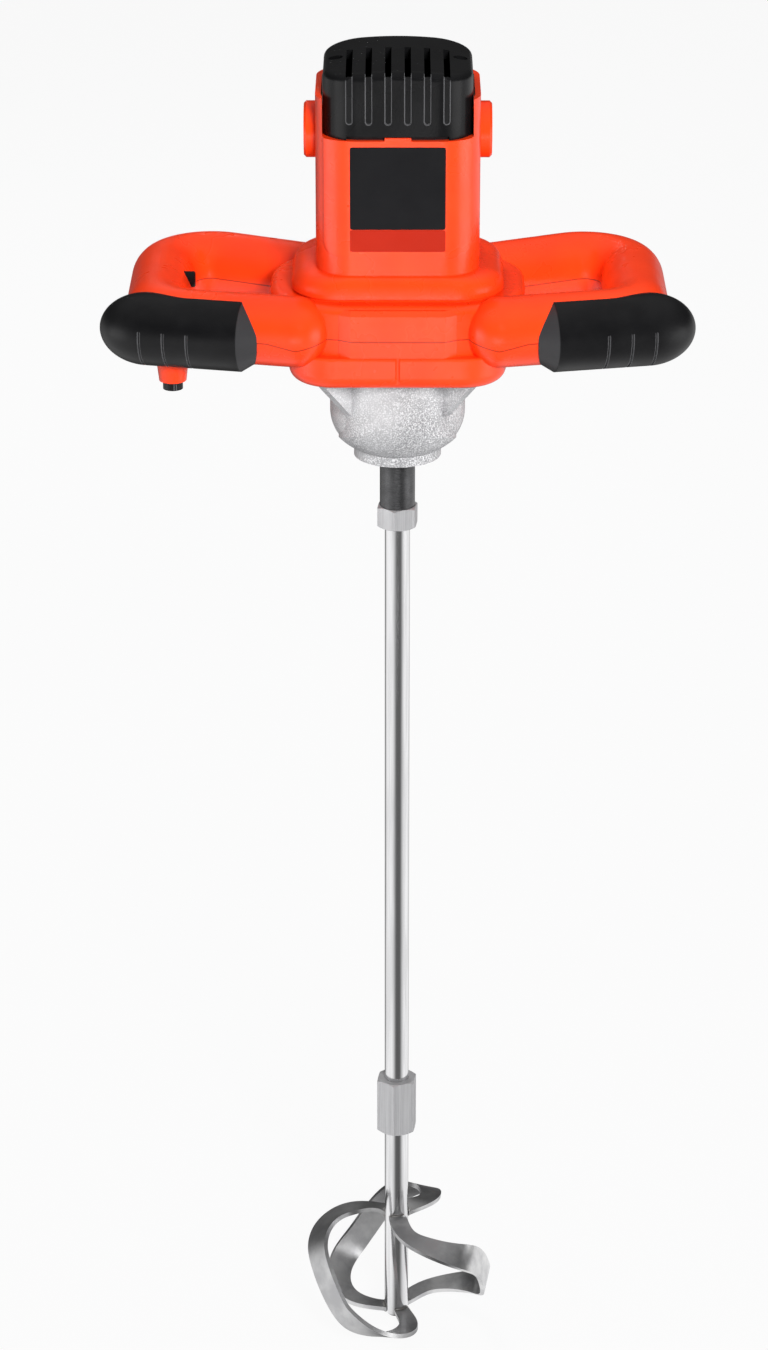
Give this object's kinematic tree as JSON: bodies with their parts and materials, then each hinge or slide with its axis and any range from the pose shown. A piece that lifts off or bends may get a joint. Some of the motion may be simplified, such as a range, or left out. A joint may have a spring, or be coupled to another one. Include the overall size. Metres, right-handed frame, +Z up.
{
  "type": "mixing drill",
  "caption": "Hand-held mixing drill: upright motor on a gearbox between D-loop handles, driving a long rod with a helical band paddle; gear train, trigger and lock button move.",
  "frame": {"origin": "centre of the lower face of the gear case's neck collar, on the spindle axis", "axes": "+Z up along the spindle towards the motor, -Y to the front, -X to the right hand's grip"},
  "size_m": [0.367, 0.1766, 0.8914],
  "materials": {
    "orange_plastic": "fine moulded texture",
    "black_plastic": "fine moulded texture",
    "black_rubber": "matt",
    "cast_aluminium": "sand-blasted casting",
    "polished_steel": "polished bar",
    "satin_steel": "satin",
    "bright_steel": "ground",
    "zinc_screw": "zinc plated",
    "black_steel": "black oxide",
    "bronze": "sintered",
    "brass": "turned",
    "copper": "enamelled wire",
    "laminations": "stacked sheet",
    "carbon": "sintered",
    "grey_plastic": "moulded"
  },
  "bodies": {
    "housing": {"motor_housing": "orange_plastic", "handle_upper_shell": "orange_plastic", "handle_lower_shell": "orange_plastic", "vent_cap": "black_plastic", "brush_caps": "black_plastic", "switch_body": "black_plastic", "fan_baffle": "grey_plastic", "bumper_left": "black_rubber", "bumper_right": "black_rubber", "cord_gland": "black_rubber", "spindle_seal": "black_rubber", "gear_case": "cast_aluminium", "gear_cover": "cast_aluminium", "spindle_bracket": "cast_aluminium", "bearing_bracket": "cast_aluminium", "trigger_pin": "bright_steel", "trigger_spring": "bright_steel", "brush_springs": "bright_steel", "bearing_balls": "bright_steel", "spindle_bearing_outer": "bright_steel", "rotor_lower_bearing_outer": "bright_steel", "rotor_upper_bearing_outer": "bright_steel", "spindle_bush": "bronze", "countershaft_lower_bush": "bronze", "countershaft_upper_bush": "bronze", "brush_tubes": "brass", "field_coils": "copper", "stator_core": "laminations", "carbon_brushes": "carbon", "case_screws": "zinc_screw", "motor_screws": "zinc_screw", "handle_screws": "zinc_screw", "bracket_screws": "zinc_screw", "vent_cap_screws": "zinc_screw"},
    "spindle": {"spindle": "black_steel", "output_gear": "bright_steel", "output_key": "bright_steel", "spindle_circlip": "black_steel", "spindle_bearing_inner": "bright_steel", "lock_nut": "satin_steel", "upper_rod": "polished_steel", "rod_coupling": "satin_steel", "lower_rod": "polished_steel", "mixing_band_1": "polished_steel", "mixing_band_2": "polished_steel", "mixing_band_3": "polished_steel"},
    "countershaft": {"countershaft": "bright_steel", "countershaft_gear": "bright_steel"},
    "rotor": {"rotor_shaft": "bright_steel", "rotor_core": "laminations", "rotor_windings": "copper", "commutator": "copper", "cooling_fan": "grey_plastic", "rotor_lower_bearing_inner": "bright_steel", "rotor_upper_bearing_inner": "bright_steel"},
    "trigger": {"trigger": "black_plastic"},
    "lock_button": {"lock_button": "black_plastic"}
  },
  "joints": [
    {"name": "spindle_spin", "type": "hinge", "parent": "housing", "child": "spindle", "pos_m": [0, 0, 0], "axis": [0, 0, 1], "continuous": true},
    {"name": "countershaft_spin", "type": "hinge", "parent": "housing", "child": "countershaft", "pos_m": [0, 0.027, 0.04], "axis": [0, 0, 1], "continuous": true},
    {"name": "rotor_spin", "type": "hinge", "parent": "housing", "child": "rotor", "pos_m": [0, 0, 0.15], "axis": [0, 0, 1], "continuous": true},
    {"name": "trigger_press", "type": "hinge", "parent": "housing", "child": "trigger", "pos_m": [-0.149, -0.005, 0.084], "axis": [1, 0, 0], "range_deg": [0, 8], "stiffness_Nm_per_rad": 1.2, "springref_deg": -5.73, "deforming": ["trigger_spring"]},
    {"name": "lock_slide", "type": "slide", "parent": "housing", "child": "lock_button", "axis": [-1, 0, 0], "range_m": [0, 0.003], "stiffness_N_per_m": 400, "springref_m": -0.002}
  ],
  "couplings": [
    {"joint": "countershaft_spin", "follows": "spindle_spin", "ratio": -3.6154},
    {"joint": "rotor_spin", "follows": "spindle_spin", "ratio": 18.077}
  ]
}
